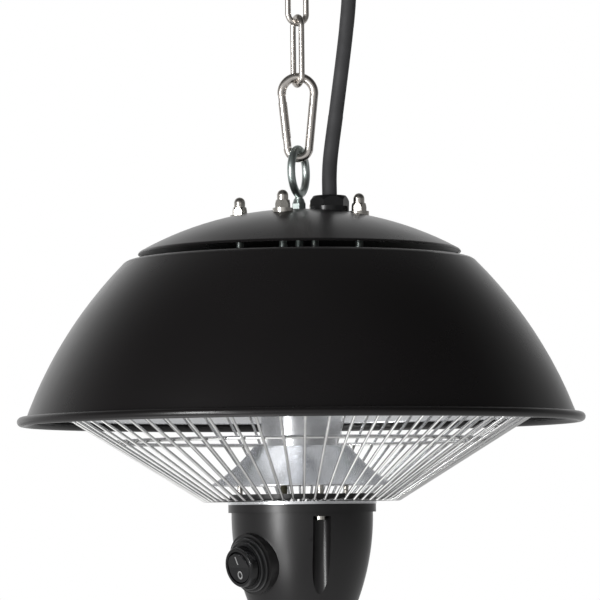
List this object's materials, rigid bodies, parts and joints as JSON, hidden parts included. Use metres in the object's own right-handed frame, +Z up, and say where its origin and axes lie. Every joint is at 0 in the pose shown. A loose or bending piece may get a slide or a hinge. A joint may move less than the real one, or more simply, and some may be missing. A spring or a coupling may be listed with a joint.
{
  "type": "hanging patio heater",
  "caption": "Electric patio heater hung from a ceiling hook by a link chain: black domed shade, wire guard under its reflector and a housing with a round rocker switch.",
  "frame": {"origin": "middle of the ceiling plate's top face, where it meets the ceiling", "axes": "+Z up, out of the ceiling plate's top face; the front is towards -Y, and the free cord rises on the +X side of the chain"},
  "size_m": [0.425, 0.425, 0.6952],
  "materials": {
    "zinc": "dull zinc plate",
    "nickel": "polished nickel plate",
    "black_coat": "satin black stoved coat",
    "polished": "polished",
    "bright_wire": "bright nickel-chrome plate",
    "dark_steel": "heat-proof dark coat",
    "black_plastic": "fine satin grain",
    "gloss_black": "gloss",
    "soft_black": "satin rubber",
    "cord_rubber": "matte dark grey",
    "quartz": "clear quartz",
    "ceramic": "unglazed white ceramic",
    "sleeving": "woven glass sleeving"
  },
  "bodies": {
    "ceiling_mount": {"ceiling_plate": "zinc", "ceiling_hook": "zinc"},
    "upper_chain": {"chain_link_e": "nickel", "chain_link_d": "nickel", "chain_link_c": "nickel", "cord_coil": "cord_rubber", "cord_ties": "gloss_black", "mains_plug": "soft_black", "plug_pins": "nickel"},
    "link_a": {"chain_link_a": "nickel"},
    "link_b": {"chain_link_b": "nickel"},
    "snap_hook": {"snap_hook_body": "nickel", "snap_gate_pin": "nickel"},
    "gate": {"snap_gate": "nickel"},
    "heater": {"eye_bolt": "zinc", "eye_bolt_nuts": "zinc", "top_cover": "black_coat", "cover_studs": "zinc", "acorn_nuts": "nickel", "stud_washers": "nickel", "stud_nuts": "zinc", "gland_body": "gloss_black", "gland_nut": "gloss_black", "gland_locknut": "gloss_black", "cord_run": "cord_rubber", "shade": "black_coat", "reflector_bowl": "polished", "core_tube": "polished", "bright_sleeve": "polished", "waist_collar": "polished", "flared_reflector": "polished", "flare_base": "polished", "lead_sleeves": "sleeving", "heating_tube": "quartz", "tube_caps": "ceramic", "tube_clips": "zinc", "guard_spokes": "bright_wire", "guard_rings": "bright_wire", "guard_hooks": "polished", "heat_pan": "dark_steel", "base_ring": "polished", "control_housing": "black_plastic", "housing_screws": "nickel", "switch_collar": "soft_black", "switch_bezel": "gloss_black", "switch_body": "black_plastic"},
    "rocker": {"switch_rocker": "gloss_black"}
  },
  "joints": [
    {"name": "hook_swing", "type": "hinge", "parent": "ceiling_mount", "child": "upper_chain", "pos_m": [0, 0, -0.04649], "axis": [0.9063, 0.4226, 0], "range_deg": [-12, 12]},
    {"name": "link_c_swing", "type": "hinge", "parent": "upper_chain", "child": "link_a", "pos_m": [0, 0, -0.18584], "axis": [0.4226, -0.9063, 0], "range_deg": [-15, 15], "deforming": ["cord_run"]},
    {"name": "link_a_swing", "type": "hinge", "parent": "link_a", "child": "link_b", "pos_m": [0, 0, -0.23254], "axis": [0.9063, 0.4226, 0], "range_deg": [-15, 15], "deforming": ["cord_run"]},
    {"name": "link_b_swing", "type": "hinge", "parent": "link_b", "child": "snap_hook", "pos_m": [0, 0, -0.27924], "axis": [0.4226, -0.9063, 0], "range_deg": [-15, 15], "deforming": ["cord_run"]},
    {"name": "eye_swing", "type": "hinge", "parent": "snap_hook", "child": "heater", "pos_m": [0, 0, -0.33479], "axis": [1, 0, 0], "range_deg": [-12, 12], "deforming": ["cord_run"]},
    {"name": "gate_hinge", "type": "hinge", "parent": "snap_hook", "child": "gate", "pos_m": [-0.00839, 0, -0.32343], "axis": [0, 1, 0], "range_deg": [0, 12], "stiffness_Nm_per_rad": 0.05, "springref_deg": -8.59},
    {"name": "rocker_hinge", "type": "hinge", "parent": "heater", "child": "rocker", "pos_m": [-0.04474, -0.04029, -0.64091], "axis": [0.6691, -0.7431, 0], "range_deg": [-14, 0]}
  ]
}
